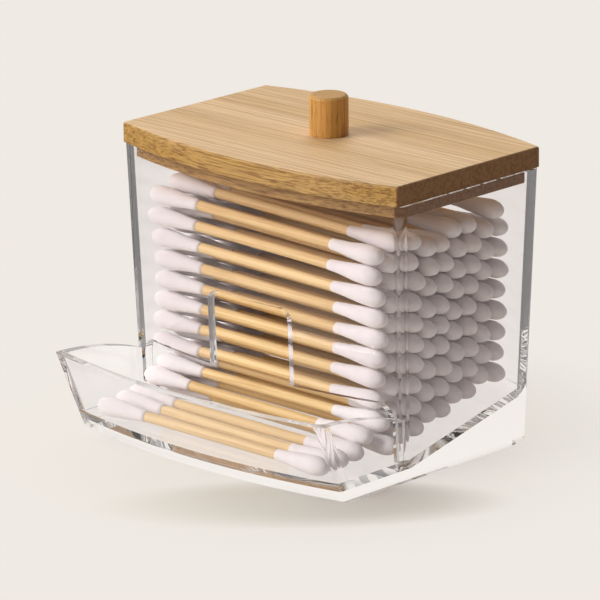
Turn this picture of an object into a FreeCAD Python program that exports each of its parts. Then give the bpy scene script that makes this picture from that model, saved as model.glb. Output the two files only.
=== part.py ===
"""Cotton swab holder: clear bow-fronted box with a dispensing tray, bamboo lid and knob, and its swabs.

Units are millimetres and degrees.  X runs along the swabs, -Y points to the tray, +Z is up.
The origin lies on the surface that the box stands on, midway between the tray's lip and the lid's rear.
"""
import FreeCAD
import Part
import Sketcher
import math
import os
import re

os.makedirs("parts", exist_ok=True)
doc = FreeCAD.newDocument("swab_holder")

# ---------------------------------------------------------------- driving dimensions
SIZES = {
    # clear box: upright part, which widens a little from the base to the rim
    "rim_level": 67.2,
    "rim_spread": 1.45,
    "rim_reach": 30.4,
    "end_clearance": 4.2,
    "base_reach": 27.5,
    "bow_radius": 158.0,
    "wall": 2.3,
    "corner_radius": 1.6,
    "inner_corner_radius": 1.0,
    # floor, and the ramp that the swabs roll down
    "floor_level": 4.8,
    "floor_thickness": 2.2,
    "ramp_setback": 0.5,
    "ramp_angle": 13.1,
    "bend_radius": 3.0,
    # tray and its flared lip
    "lip_level": 20.0,
    "lip_top_reach": 54.7,
    "lip_foot_reach": 46.2,
    "lip_bow_radius": 190.0,
    "cheek_drop": 4.9,
    # openings in the front wall
    "slot_level": 18.7,
    "slot_leg": 1.4,
    "slot_corner": 4.0,
    "notch_level": 37.4,
    "notch_half_width": 13.2,
    "notch_corner": 3.0,
    # the foot edge is relieved at the rear
    "foot_relief": 0.9,
    "foot_length": 17.6,
    # bamboo lid and knob
    "lid_inset": 0.45,
    "lid_overhang": 0.8,
    "lid_thickness": 5.0,
    "lid_corner_radius": 0.8,
    "lid_edge": 0.4,
    "lid_step": 3.4,
    "lid_clearance": 0.6,
    "step_corner_radius": 1.6,
    "knob_diameter": 9.4,
    "knob_height": 9.8,
    "knob_edge": 0.6,
    "spigot_diameter": 5.0,
    "spigot_length": 3.8,
    "spigot_clearance": 0.1,
    # swabs
    "swab_length": 75.0,
    "stick_diameter": 2.5,
    "bud_diameter": 5.0,
    "bud_length": 16.0,
    "bud_tip_diameter": 3.4,
    "bud_tip_length": 2.6,
    "stick_end_cover": 3.0,
    "swab_gap": 0.15,
    "swab_play": 1.1,
    "front_lean": 1.6,
    "pile_columns": 9,
    "pile_level": 57.5,
    "pile_fan": 2.2,
    "tray_gap": 0.6,
    "tray_turn": 1.1,
    "slot_heap": 8.7,
}

sheet = doc.addObject("Spreadsheet::Sheet", "Sizes")
for row, (alias, value) in enumerate(SIZES.items(), start=1):
    sheet.set(f"A{row}", alias)
    sheet.set(f"B{row}", str(value))
    sheet.setAlias(f"B{row}", alias)
doc.recompute()


def bound(formula):
    """The formula as other objects read it, with the sheet's name before each size."""
    return re.sub(r"[a-z]+(?:_[a-z]+)+|wall", lambda word: "Sizes." + word.group(), formula)


def size(formula):
    """The formula's value now, as a plain number."""
    return float(sheet.evalExpression(formula))


# ---------------------------------------------------------------- sketches
LEVEL_PLANE = FreeCAD.Rotation()
SIDE_PLANE = FreeCAD.Rotation(FreeCAD.Vector(1, 1, 1), 120)
FRONT_PLANE = FreeCAD.Rotation(FreeCAD.Vector(1, 0, 0), 90)
START, END, CENTRE = range(1, 4)
X_AXIS, Y_AXIS = range(-1, -3, -1)
ORIGIN = (X_AXIS, START)


def point(x, y):
    return FreeCAD.Vector(x, y, 0)


def new_sketch(name, rotation):
    """A free sketch through the origin, turned to its plane."""
    sketch = doc.addObject("Sketcher::SketchObject", name)
    sketch.Placement = FreeCAD.Placement(FreeCAD.Vector(), rotation)
    return sketch


def body_sketch(body, name, role):
    """A sketch on one of a body's own origin planes."""
    sketch = body.newObject("Sketcher::SketchObject", name)
    plane = next(each for each in body.Origin.OriginFeatures if each.Role == role)
    sketch.AttachmentSupport = [(plane, "")]
    sketch.MapMode = "FlatFace"
    return sketch


def arc(centre, radius, first, last):
    circle = Part.Circle(centre, FreeCAD.Vector(0, 0, 1), radius)
    return Part.ArcOfCircle(circle, first, last)


def constrain(sketch, *args, formula=None):
    """Add a constraint and, where a formula is given, bind it to the sheet."""
    if formula is None:
        sketch.addConstraint(Sketcher.Constraint(*args))
        return
    index = sketch.addConstraint(Sketcher.Constraint(*args, size(formula)))
    name = f"size_{index}"
    sketch.renameConstraint(index, name)
    sketch.setExpression(f"Constraints.{name}", bound(formula))


def place(sketch, element, position, across, up):
    """Hold one point of a sketch at two formulas measured from the origin."""
    constrain(sketch, "DistanceX", *ORIGIN, element, position, formula=across)
    constrain(sketch, "DistanceY", *ORIGIN, element, position, formula=up)


def draw_polygon(sketch, corners):
    """Closed outline through corners, each given as two formulas."""
    values = [point(size(across), size(up)) for across, up in corners]
    count = len(corners)
    for index in range(count):
        sketch.addGeometry(Part.LineSegment(values[index], values[(index + 1) % count]))
    for index, (across, up) in enumerate(corners):
        constrain(sketch, "Coincident", index, END, (index + 1) % count, START)
        place(sketch, index, START, across, up)


def draw_bowed_outline(sketch, half, front, rear, radius, corner):
    """Straight sides, a bowed front and rear, and rounded corners; all arguments are formulas."""
    side, bow, turn = size(half), size(radius), size(corner)
    ends = {}
    for sign, reach in ((1, size(rear)), (-1, size(front))):
        middle = sign * (reach - bow)
        turn_middle = middle + sign * math.sqrt((bow - turn) ** 2 - (side - turn) ** 2)
        angle = math.atan2(turn_middle - middle, side - turn)
        ends[sign] = (middle, turn_middle, angle)
    rear_middle, rear_turn, rear_angle = ends[1]
    front_middle, front_turn, front_angle = ends[-1]
    right, left = side - turn, turn - side
    full = 2 * math.pi
    sketch.addGeometry([
        Part.LineSegment(point(side, front_turn), point(side, rear_turn)),
        arc(point(right, rear_turn), turn, 0, rear_angle),
        arc(point(0, rear_middle), bow, rear_angle, math.pi - rear_angle),
        arc(point(left, rear_turn), turn, math.pi - rear_angle, math.pi),
        Part.LineSegment(point(-side, rear_turn), point(-side, front_turn)),
        arc(point(left, front_turn), turn, math.pi, math.pi - front_angle),
        arc(point(0, front_middle), bow, math.pi - front_angle, full + front_angle),
        arc(point(right, front_turn), turn, full + front_angle, full),
    ])
    count = sketch.GeometryCount
    for index in range(count):
        constrain(sketch, "Tangent", index, END, (index + 1) % count, START)
    right_side, rear_bow, left_side, front_bow = 0, 2, 4, 6
    for line, formula in ((right_side, half), (left_side, f"-({half})")):
        constrain(sketch, "Vertical", line)
        constrain(sketch, "DistanceX", *ORIGIN, line, START, formula=formula)
    for turned in (3, 5, 7):
        constrain(sketch, "Equal", 1, turned)
    constrain(sketch, "Radius", 1, formula=corner)
    middles = {rear_bow: f"({rear}) - ({radius})", front_bow: f"({radius}) - ({front})"}
    for bowed, middle in middles.items():
        constrain(sketch, "Radius", bowed, formula=radius)
        constrain(sketch, "PointOnObject", bowed, CENTRE, Y_AXIS)
        constrain(sketch, "DistanceY", *ORIGIN, bowed, CENTRE, formula=middle)


def draw_arch(sketch, half, foot, top, corner):
    """Upright rectangle with its two upper corners rounded; all arguments are formulas."""
    side, low, high, turn = size(half), size(foot), size(top), size(corner)
    shoulder = high - turn
    sketch.addGeometry([
        Part.LineSegment(point(side, low), point(side, shoulder)),
        arc(point(side - turn, shoulder), turn, 0, math.pi / 2),
        Part.LineSegment(point(side - turn, high), point(turn - side, high)),
        arc(point(turn - side, shoulder), turn, math.pi / 2, math.pi),
        Part.LineSegment(point(-side, shoulder), point(-side, low)),
        Part.LineSegment(point(-side, low), point(side, low)),
    ])
    right, right_turn, head, left_turn, left, sill = range(sketch.GeometryCount)
    for first, second in ((right, right_turn), (right_turn, head), (head, left_turn), (left_turn, left)):
        constrain(sketch, "Tangent", first, END, second, START)
    constrain(sketch, "Coincident", left, END, sill, START)
    constrain(sketch, "Coincident", sill, END, right, START)
    constrain(sketch, "Vertical", left)
    constrain(sketch, "Equal", right_turn, left_turn)
    constrain(sketch, "Radius", right_turn, formula=corner)
    constrain(sketch, "Horizontal", head)
    constrain(sketch, "DistanceY", *ORIGIN, head, START, formula=top)
    place(sketch, right, START, half, foot)
    place(sketch, left, END, f"-({half})", foot)


# ---------------------------------------------------------------- solids made from sketches
BASE_HALF = "(swab_length / 2 + end_clearance + wall)"
RIM_HALF = f"({BASE_HALF} + rim_spread)"
LID_HALF = f"({RIM_HALF} - lid_inset)"
LID_REACH = "(rim_reach + lid_overhang)"
FAR = "2 * lip_top_reach"
ACROSS = f"4 * {RIM_HALF}"


def loft(name, foot_level, foot, head_level, head):
    """Solid between two bowed outlines, each a tuple of formulas for draw_bowed_outline."""
    sections = []
    for part_name, level, outline in (("foot", foot_level, foot), ("head", head_level, head)):
        sketch = new_sketch(f"{name}_{part_name}", LEVEL_PLANE)
        draw_bowed_outline(sketch, *outline)
        sketch.setExpression("Placement.Base.z", bound(level))
        sections.append(sketch)
    solid = doc.addObject("Part::Loft", name)
    solid.Sections = sections
    solid.Solid = True
    solid.Ruled = True
    return solid


def bar(name, sketch, length):
    """The sketch extruded by a length, half to each side of its plane."""
    solid = doc.addObject("Part::Extrusion", name)
    solid.Base = sketch
    solid.DirMode = "Normal"
    solid.Solid = True
    solid.Symmetric = True
    solid.setExpression("LengthFwd", bound(length))
    return solid


def side_bar(name, corners):
    """A prism across the box with a polygon section in Y and Z."""
    sketch = new_sketch(f"{name}_section", SIDE_PLANE)
    draw_polygon(sketch, corners)
    return bar(name, sketch, ACROSS)


def combine(kind, name, base, tool):
    """Part::Cut or Part::Common of two objects."""
    result = doc.addObject(kind, name)
    result.Base = base
    result.Tool = tool
    return result


def fuse(name, shapes):
    result = doc.addObject("Part::MultiFuse", name)
    result.Shapes = shapes
    return result


# ---------------------------------------------------------------- clear box
TOP = "(rim_level + wall)"
SLOPE = "tan(ramp_angle * 1 deg)"


def half_width_at(level):
    """Half width of the outside, which grows evenly from the base to the rim."""
    return f"({BASE_HALF} + ({level}) * rim_spread / rim_level)"


def reach_at(level):
    """How far the bowed front and rear stand out at their middle."""
    return f"(base_reach + ({level}) * (rim_reach - base_reach) / rim_level)"


def lip_reach_at(level):
    """How far the flared lip stands out at its middle."""
    return f"(lip_foot_reach + ({level}) * (lip_top_reach - lip_foot_reach) / lip_level)"


def corner_of(reach, radius):
    """Distance from the middle to where a bow meets the straight side."""
    return f"({reach} - {radius} + sqrt({radius} ^ 2 - {BASE_HALF} ^ 2))"


BOX_CORNER = corner_of("base_reach", "bow_radius")
LIP_CORNER = corner_of("lip_top_reach", "lip_bow_radius")
RAMP_FRONT = f"({BOX_CORNER} - wall - ramp_setback)"


def column(name, inset, low, high, corner):
    """The upright box form, drawn in from its outside by inset, between two levels."""
    sections = []
    for level in (low, high):
        half = f"{half_width_at(level)} - {inset}"
        reach = f"{reach_at(level)} - {inset}"
        sections += [level, (half, reach, reach, f"bow_radius - {inset}", corner)]
    return loft(name, *sections)


def tray(name, inset, low, high, rear, corner):
    """The tray form, drawn in from its outside by inset, between two levels."""
    sections = []
    for level in (low, high):
        half = f"{half_width_at(level)} - {inset}"
        front = f"{lip_reach_at(level)} - {inset}"
        sections += [level, (half, front, rear, f"lip_bow_radius - {inset}", corner)]
    return loft(name, *sections)


def cheek_scoop():
    """What is cut off above the tray's cheeks, whose rim curves down from the lip to the box."""
    radius = f"((({LIP_CORNER} - {BOX_CORNER}) ^ 2 + cheek_drop ^ 2) / (2 * cheek_drop))"
    sketch = new_sketch("cheek_scoop_section", SIDE_PLANE)
    lip, box, turn = -size(LIP_CORNER), -size(BOX_CORNER), size(radius)
    level, drop, top = size("lip_level"), size("cheek_drop"), size(TOP)
    end_angle = math.atan2(turn - drop, box - lip)
    sketch.addGeometry([
        arc(point(lip, level - turn), turn, end_angle, math.pi / 2),
        Part.LineSegment(point(lip, level), point(lip, top)),
        Part.LineSegment(point(lip, top), point(0, top)),
        Part.LineSegment(point(0, top), point(0, level - drop)),
        Part.LineSegment(point(0, level - drop), point(box, level - drop)),
    ])
    count = sketch.GeometryCount
    for index in range(count):
        constrain(sketch, "Coincident", index, END, (index + 1) % count, START)
    curve, lip_side, head, box_side, sill = range(count)
    place(sketch, curve, CENTRE, f"-{LIP_CORNER}", f"lip_level - {radius}")
    place(sketch, curve, END, f"-{LIP_CORNER}", "lip_level")
    constrain(sketch, "DistanceX", *ORIGIN, curve, START, formula=f"-{BOX_CORNER}")
    constrain(sketch, "Vertical", lip_side)
    constrain(sketch, "DistanceY", *ORIGIN, lip_side, END, formula=TOP)
    constrain(sketch, "Horizontal", head)
    constrain(sketch, "PointOnObject", head, END, Y_AXIS)
    constrain(sketch, "Vertical", box_side)
    constrain(sketch, "Horizontal", sill)
    return bar("cheek_scoop", sketch, ACROSS)


def room_inside():
    """The space for the swabs, open at the rim, above the floor and the ramp."""
    outline = column("room_outline", "wall", "floor_level", TOP, "inner_corner_radius")
    over_ramp = side_bar("over_ramp", [
        (f"-{FAR}", "floor_level"),
        (f"-{RAMP_FRONT}", "floor_level"),
        (FAR, f"floor_level + ({FAR} + {RAMP_FRONT}) * {SLOPE}"),
        (FAR, f"{FAR} + {TOP}"),
        (f"-{FAR}", f"{FAR} + {TOP}"),
    ])
    return combine("Part::Common", "room_inside", outline, over_ramp)


def tray_inside(box_outside):
    """The space in the tray, in front of the box's own front wall."""
    outline = tray("tray_outline", "wall", "floor_level", TOP, "0", "inner_corner_radius")
    return combine("Part::Cut", "tray_inside", outline, box_outside)


def front_opening(name, half, foot, top, corner):
    """An opening with rounded upper corners, cut forwards through the front wall only."""
    sketch = new_sketch(f"{name}_section", FRONT_PLANE)
    draw_arch(sketch, half, foot, top, corner)
    sketch.setExpression("Placement.Base.y", bound(f"-{RAMP_FRONT}"))
    opening = bar(name, sketch, f"rim_reach - {RAMP_FRONT} + wall")
    opening.Symmetric = False
    return opening


def underside():
    """The hollow below the floor and the ramp, open at the bottom and at the rear."""
    outline = tray("underside_outline", "wall", "0", "lip_level", f"{FAR}", "inner_corner_radius")
    under_front = f"(floor_thickness * tan(ramp_angle * 0.5 deg) - {RAMP_FRONT})"
    under_ramp = side_bar("under_ramp", [
        (f"-{FAR}", "-wall"),
        (FAR, "-wall"),
        (FAR, f"floor_level - floor_thickness + ({FAR} - {under_front}) * {SLOPE}"),
        (under_front, "floor_level - floor_thickness"),
        (f"-{FAR}", "floor_level - floor_thickness"),
    ])
    return combine("Part::Common", "underside", outline, under_ramp)


def foot_relief():
    """The step in the foot edge of the side walls, near the rear."""
    return side_bar("foot_relief", [
        ("foot_length", "-wall"), (FAR, "-wall"), (FAR, "foot_relief"), ("foot_length", "foot_relief"),
    ])


def rear_crease(shape):
    """Number of the long edge where the ramp's underside meets the rear of the box."""
    wall, half = size("wall"), size(BASE_HALF)
    crossing = [
        (edge.CenterOfMass.z, number) for number, edge in enumerate(shape.Edges, start=1)
        if edge.Length > half and abs(edge.CenterOfMass.x) < wall < edge.CenterOfMass.y
    ]
    return min(crossing)[1]


def make_clear_box():
    outside = column("box_outside", "0", "0", "rim_level", "corner_radius")
    tray_outside = tray("tray_outside", "0", "0", "lip_level", "0", "corner_radius")
    tray_body = combine("Part::Cut", "tray_body", tray_outside, cheek_scoop())
    body = fuse("box_body", [outside, tray_body])
    slot_half = f"{half_width_at('floor_level')} - wall - slot_leg"
    hollows = [
        underside(),
        foot_relief(),
        room_inside(),
        front_opening("slot", slot_half, "floor_level", "slot_level", "slot_corner"),
        front_opening(
            "notch", "notch_half_width", "slot_level - slot_corner", "notch_level", "notch_corner",
        ),
        tray_inside(outside),
    ]
    for hollow in hollows:
        body = combine("Part::Cut", f"without_{hollow.Name}", body, hollow)
    doc.recompute()
    bend = doc.addObject("Part::Fillet", "rear_bend")
    bend.Base = body
    bend.Edges = [(rear_crease(body.Shape), size("bend_radius"), size("bend_radius"))]
    bend.Label = "clear_box"
    return bend


# ---------------------------------------------------------------- bamboo lid and knob
def raised_sketch(body, name, level):
    """A body's sketch parallel to its base plane at a level."""
    sketch = body_sketch(body, name, "XY_Plane")
    sketch.setExpression("AttachmentOffset.Base.z", bound(level))
    return sketch


def pad(body, name, sketch, length, downwards=False):
    feature = body.newObject("PartDesign::Pad", name)
    feature.Profile = sketch
    feature.Reversed = downwards
    feature.setExpression("Length", bound(length))
    return feature


def make_lid():
    """One board: a plate as wide as the box, with a lower step that drops inside the rim."""
    body = doc.addObject("PartDesign::Body", "lid_body")
    outline = raised_sketch(body, "plate_outline", "rim_level")
    draw_bowed_outline(outline, LID_HALF, LID_REACH, LID_REACH, "bow_radius", "lid_corner_radius")
    plate = pad(body, "plate", outline, "lid_thickness")
    doc.recompute()
    heights = [face.CenterOfMass.z for face in plate.Shape.Faces]
    easing = body.newObject("PartDesign::Chamfer", "eased_top")
    easing.Base = (plate, [f"Face{heights.index(max(heights)) + 1}"])
    easing.setExpression("Size", bound("lid_edge"))
    inset = "(wall + lid_clearance)"
    step_half = f"{half_width_at('rim_level - lid_step')} - {inset}"
    step_reach = f"{reach_at('rim_level - lid_step')} - {inset}"
    step = raised_sketch(body, "step_outline", "rim_level")
    step_bow = f"bow_radius - {inset}"
    draw_bowed_outline(step, step_half, step_reach, step_reach, step_bow, "step_corner_radius")
    pad(body, "step", step, "lid_step", downwards=True)
    bore_circle = raised_sketch(body, "knob_bore_circle", "rim_level + lid_thickness")
    bore_circle.addGeometry(Part.Circle(point(0, 0), FreeCAD.Vector(0, 0, 1), size("spigot_diameter / 2")))
    constrain(bore_circle, "Coincident", 0, CENTRE, *ORIGIN)
    constrain(bore_circle, "Diameter", 0, formula="spigot_diameter + 2 * spigot_clearance")
    bore = body.newObject("PartDesign::Pocket", "knob_bore")
    bore.Profile = bore_circle
    bore.setExpression("Length", bound("spigot_length + spigot_clearance"))
    body.Label = "lid"
    return body


def make_knob():
    """Turned knob: a short cylinder with an eased top edge and a spigot underneath."""
    body = doc.addObject("PartDesign::Body", "knob_body")
    body.setExpression("Placement.Base.z", bound("rim_level + lid_thickness"))
    section = body_sketch(body, "knob_section", "XZ_Plane")
    draw_polygon(section, [
        ("0", "-spigot_length"),
        ("spigot_diameter / 2", "-spigot_length"),
        ("spigot_diameter / 2", "0"),
        ("knob_diameter / 2", "0"),
        ("knob_diameter / 2", "knob_height - knob_edge"),
        ("knob_diameter / 2 - knob_edge", "knob_height"),
        ("0", "knob_height"),
    ])
    turned = body.newObject("PartDesign::Revolution", "turned")
    turned.Profile = section
    turned.ReferenceAxis = (section, ["V_Axis"])
    turned.Angle = 360
    body.Label = "knob"
    return body


# ---------------------------------------------------------------- swabs
FACETS = 6
SETTLE_ROUNDS = 25
SETTLE_CALM_ROUNDS = 8
SETTLE_STEPS = 20
SETTLE_SWEEPS = 3
SETTLE_DROP = 0.02
SETTLE_NEAR = 1.6
SWAY_ACROSS = 7.3
SWAY_UP = 4.1
SWAY_INSIDE = 0.4


def ring(radius, along):
    """A closed regular outline around the X axis."""
    corners = []
    for index in range(FACETS + 1):
        angle = 2 * math.pi * (index % FACETS) / FACETS
        corners.append(FreeCAD.Vector(along, radius * math.cos(angle), radius * math.sin(angle)))
    return Part.makePolygon(corners)


def faceted(rings):
    """Solid through a row of outlines, each (radius, place along X)."""
    return Part.makeLoft([ring(*each) for each in rings], True, True)


def make_stick():
    half = size("swab_length / 2 - stick_end_cover")
    radius = size("stick_diameter / 2")
    return faceted([(radius, -half), (radius, half)])


def make_bud():
    """The cotton on the +X end, wound over the stick's end."""
    end = size("swab_length / 2")
    neck = end - size("bud_length")
    shoulder = end - size("bud_tip_length")
    stick = size("stick_diameter / 2")
    skin = faceted([
        (stick + size("swab_gap"), neck),
        (size("bud_diameter / 2"), shoulder),
        (size("bud_tip_diameter / 2"), end),
    ])
    core = faceted([(stick, neck - size("bud_length")), (stick, end - size("stick_end_cover"))])
    return skin.cut(core)


def push_apart(swabs, held, pairs, spacing):
    """Move each pair that stands too close apart; the swabs in held stay where they are."""
    for first, second in pairs:
        across = swabs[second][0] - swabs[first][0]
        up = swabs[second][1] - swabs[first][1]
        gap = math.hypot(across, up)
        if gap >= spacing:
            continue
        push = (spacing - gap) / gap
        share = 1 if first < held else 1 / 2
        y, z = swabs[second]
        swabs[second] = (y + across * push * share, z + up * push * share)
        if first >= held:
            y, z = swabs[first]
            swabs[first] = (y - across * push * share, z - up * push * share)


def settle(held_swabs, swabs, spacing, keep_inside):
    """Let swabs, seen from the end as discs, sink onto the held ones and each other until they rest."""
    held = len(held_swabs)
    swabs = held_swabs + swabs
    count = len(swabs)
    for round_number in range(SETTLE_ROUNDS):
        drop = SETTLE_DROP if round_number < SETTLE_ROUNDS - SETTLE_CALM_ROUNDS else 0
        pairs = [
            (first, second) for first in range(count) for second in range(max(first + 1, held), count)
            if math.dist(swabs[first], swabs[second]) < SETTLE_NEAR * spacing
        ]
        for step in range(SETTLE_STEPS):
            swabs = swabs[:held] + [(y, z - drop) for y, z in swabs[held:]]
            for sweep in range(SETTLE_SWEEPS):
                push_apart(swabs, held, pairs, spacing)
                swabs = swabs[:held] + [keep_inside(y, z) for y, z in swabs[held:]]
    return swabs[held:]


def tray_places():
    """Places (slide along X, Y, Z, turn about Z, tilt about Y) of the swabs that have rolled out."""
    spacing = size("bud_diameter + swab_gap")
    level = size("floor_level") + spacing / 2
    bow = size("lip_bow_radius - wall")
    sag = bow - math.sqrt(bow ** 2 - size("swab_length / 2") ** 2)
    flare = math.atan2(size("lip_top_reach - lip_foot_reach"), size("lip_level"))
    reach = size(f"{lip_reach_at('0')} - wall") + level * math.tan(flare)
    front = sag + spacing / 2 / math.cos(flare) - reach
    apart = spacing + size("tray_gap")
    third = front + 2 * apart
    rise = math.sqrt(spacing ** 2 - size("slot_heap / 2") ** 2)
    play, turn = size("swab_play"), size("tray_turn")
    return [
        (play / 2, front, level, 0, 0),
        (0, front + apart, level, -turn, 0),
        (-play, third, level, 0, 0),
        (-3 * play / 2, third + size("slot_heap / 2"), level + rise, -turn, 0),
    ]


def pile_layers(held_places):
    """Places of the swabs in the box, as a list of layers from the ramp upwards."""
    spacing = size("bud_diameter + swab_gap")
    radius = spacing / 2
    floor, ramp_front, rim = size("floor_level"), -size(RAMP_FRONT), size("rim_level")
    slope = math.radians(size("ramp_angle"))
    bow = size("bow_radius - wall")
    sag = bow - math.sqrt(bow ** 2 - size("swab_length / 2") ** 2)
    foot_reach = size(f"{reach_at('0')} - wall") - sag - radius
    rim_reach = size(f"{reach_at('rim_level')} - wall") - sag - radius
    slot = size("slot_level") - radius
    held = [(y, z) for slide, y, z, turn, tilt in held_places]
    slot_front = max(y for y, z in held if z < floor + spacing) + size("slot_heap")

    def reach(z):
        return foot_reach + (rim_reach - foot_reach) * z / rim

    def keep_inside(y, z):
        z = max(z, floor + radius)
        y = min(max(y, slot_front if z < slot else -reach(z)), reach(z))
        height = (z - floor) * math.cos(slope) - (y - ramp_front) * math.sin(slope)
        lift = max(radius - height, 0)
        return y - lift * math.sin(slope), z + lift * math.cos(slope)

    columns = int(size("pile_columns"))
    top = size("pile_level")
    middle = reach(top / 2)
    starts, layers = [], []
    for column_number in range(columns):
        y = -middle + 2 * middle * column_number / (columns - 1)
        z = floor + radius / math.cos(slope) + max(y - ramp_front, 0) * math.tan(slope)
        z += radius * (column_number % 2)
        layer = 0
        while z < top:
            starts.append((y, z))
            layers.append(layer)
            z += spacing
            layer += 1
    settled = settle(held, starts, spacing, keep_inside)

    def place_of(y, z):
        """A settled swab's place: uneven along X, further left in front, and tilted more towards the top."""
        front = max(-y / middle, 0) ** 3
        lean = 0 if z < slot else size("front_lean") * front
        sway = size("swab_play") * math.sin(SWAY_ACROSS * y + SWAY_UP * z) * (front + SWAY_INSIDE)
        tilt = size("pile_fan") * (z - floor - radius) / top * (2 - y / middle) / 3
        return sway - lean, y, z, 0, tilt

    return [
        [place_of(*place) for place, own in zip(settled, layers) if own == layer]
        for layer in range(max(layers) + 1)
    ]


def add_group(name, parts, places):
    """One node with a copy of the parts at every place."""
    copies = []
    for slide, y, z, turn, tilt in places:
        placement = FreeCAD.Placement(FreeCAD.Vector(slide, y, z), FreeCAD.Rotation(turn, tilt, 0))
        copies += [part.transformed(placement.Matrix) for part in parts]
    group = doc.addObject("Part::Feature", name)
    group.Shape = Part.makeCompound(copies)
    return group


def make_swabs():
    stick = make_stick()
    right_bud = make_bud()
    left_bud = right_bud.mirror(FreeCAD.Vector(), FreeCAD.Vector(1, 0, 0))
    in_tray = tray_places()
    named = [(f"layer_{number:02d}", places) for number, places in enumerate(pile_layers(in_tray), start=1)]
    groups = []
    for name, places in named + [("tray", in_tray)]:
        groups.append(add_group(f"{name}_sticks", [stick], places))
        groups.append(add_group(f"{name}_cotton", [left_bud, right_bud], places))
    return groups


# ---------------------------------------------------------------- check and write
nodes = [make_clear_box(), make_lid(), make_knob()] + make_swabs()
for node in nodes:
    node.setExpression("Placement.Base.y", bound(f"(lip_top_reach - {LID_REACH}) / 2"))
doc.recompute()
faulty = [each.Name for each in doc.Objects if {"Invalid", "Error"} & set(each.State)]
if faulty:
    raise RuntimeError(f"objects that failed to rebuild: {faulty}")
for node in nodes:
    if node.Shape.isNull() or not node.Shape.isValid():
        raise RuntimeError(f"no valid shape in {node.Label}")
    node.Shape.exportStep(f"parts/{node.Label}.step")
    print(f"{node.Label}: {len(node.Shape.Solids)} solids, {node.Shape.Volume:.1f} cubic mm")
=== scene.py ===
"""Clear cotton swab holder with a bamboo lid, dressed around its CAD frame.

Lengths are in metres.  X runs along the swabs, -Y points to the tray, +Z is up.
"""
import math

import bmesh
import bpy
import numpy as np
from bpy.props import FloatProperty, FloatVectorProperty, IntProperty, PointerProperty
from bpy.types import Operator, Panel, PropertyGroup
from mathutils import Matrix, Vector, noise


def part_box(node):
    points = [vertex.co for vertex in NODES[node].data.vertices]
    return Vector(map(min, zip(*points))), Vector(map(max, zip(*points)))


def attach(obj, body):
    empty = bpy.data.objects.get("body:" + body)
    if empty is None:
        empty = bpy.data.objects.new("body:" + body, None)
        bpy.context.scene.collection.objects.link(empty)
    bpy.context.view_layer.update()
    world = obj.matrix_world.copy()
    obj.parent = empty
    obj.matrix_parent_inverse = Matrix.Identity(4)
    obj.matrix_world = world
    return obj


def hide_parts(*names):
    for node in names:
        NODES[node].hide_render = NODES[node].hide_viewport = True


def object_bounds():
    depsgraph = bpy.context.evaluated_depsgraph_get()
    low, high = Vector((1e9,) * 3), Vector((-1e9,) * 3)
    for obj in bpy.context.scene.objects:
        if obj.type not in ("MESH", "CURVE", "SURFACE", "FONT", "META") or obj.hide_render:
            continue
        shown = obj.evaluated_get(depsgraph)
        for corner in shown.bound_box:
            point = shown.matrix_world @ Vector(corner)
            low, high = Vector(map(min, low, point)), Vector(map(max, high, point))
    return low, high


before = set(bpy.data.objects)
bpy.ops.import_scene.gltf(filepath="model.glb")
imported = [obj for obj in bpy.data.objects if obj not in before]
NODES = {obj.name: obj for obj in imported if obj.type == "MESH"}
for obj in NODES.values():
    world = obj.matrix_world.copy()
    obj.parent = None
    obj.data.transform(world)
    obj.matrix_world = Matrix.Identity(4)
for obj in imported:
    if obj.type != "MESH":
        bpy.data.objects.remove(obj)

bl_info = {
    "name": "Cotton Swab Holder",
    "version": (1, 0, 0),
    "blender": (4, 5, 0),
    "location": "3D View > Sidebar > Swab Holder",
    "description": "Builds a clear swab box with its bamboo lid, knob and cotton swabs",
    "category": "Object",
}

MM = 0.001
CAD_BOUNDS = [list(corner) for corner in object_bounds()]
STICK_NODES = sorted(name for name in NODES if name.endswith("_sticks"))
COTTON_NODES = sorted(name for name in NODES if name.endswith("_cotton"))
AXIS_Y = sum(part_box("knob"), Vector()).y / 2


def paint(red, green, blue):
    """Linear colour of a paint chip whose screen values run from 0 to 255."""
    def linear(level):
        part = level / 255
        return part / 12.92 if part <= 0.04045 else ((part + 0.055) / 1.055) ** 2.4
    return linear(red), linear(green), linear(blue)


# ---------------------------------------------------------------- settings
def length(name, description, default):
    return FloatProperty(
        name=name, description=description, default=default, min=0, unit="LENGTH", precision=5,
    )


def share(name, description, default):
    return FloatProperty(
        name=name, description=description, default=default, min=0, max=1, subtype="FACTOR",
    )


def turn(name, description, default):
    return FloatProperty(
        name=name, description=description, default=math.radians(default), unit="ROTATION",
    )


def count(name, description, default):
    return IntProperty(name=name, description=description, default=default, min=3, max=64)


def colour(name, description, default):
    return FloatVectorProperty(
        name=name, description=description, default=default, size=3, min=0, max=1, subtype="COLOR",
    )


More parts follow.
